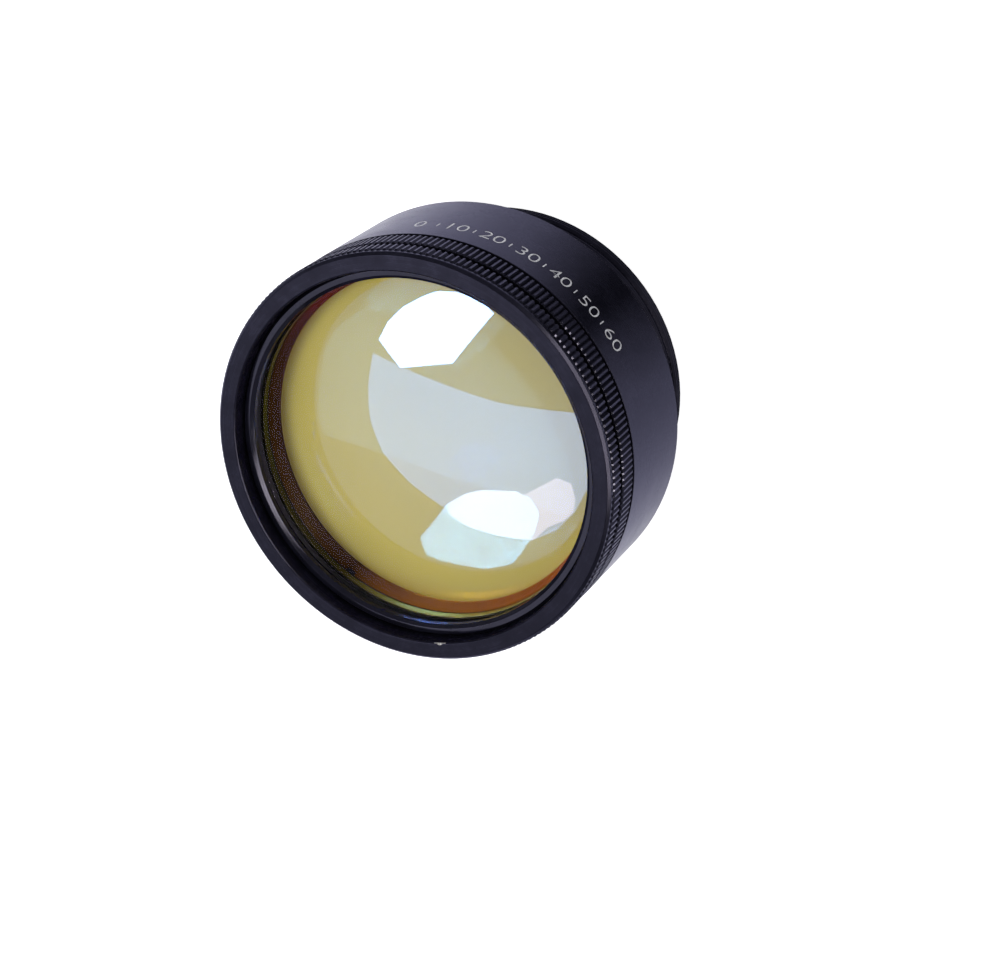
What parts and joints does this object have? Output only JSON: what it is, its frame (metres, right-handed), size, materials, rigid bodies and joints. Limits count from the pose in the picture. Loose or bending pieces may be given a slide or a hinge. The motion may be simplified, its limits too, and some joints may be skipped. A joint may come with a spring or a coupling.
{
  "type": "f theta scan lens",
  "caption": "Flat-field laser scan lens: black anodised barrel with knurled grips, screw-on protective window, coated lens stack and an M85 threaded tail.",
  "frame": {"origin": "centre of the threaded tail's end face, on the optical axis", "axes": "+Z along the optical axis, from the tail towards the protective window; the lens stands on its tail"},
  "size_m": [0.098, 0.098, 0.0622],
  "materials": {
    "black_anodised": "satin black anodised, turned",
    "black_anodised_gloss": "smooth black anodised",
    "window_glass": "polished, coated on both faces",
    "coated_glass": "polished, with a coating that reflects gold",
    "seal_rubber": "matt black"
  },
  "bodies": {
    "root": {"barrel": "black_anodised", "window_cell": "black_anodised", "window_retaining_ring": "black_anodised_gloss", "window": "window_glass", "window_seal": "seal_rubber", "cell_seal": "seal_rubber", "front_lens_ring": "black_anodised_gloss", "front_lens": "coated_glass", "lens_spacer": "black_anodised", "middle_lens": "coated_glass", "rear_lens": "coated_glass", "rear_lens_seal": "seal_rubber", "rear_lens_ring": "black_anodised"}
  },
  "joints": []
}
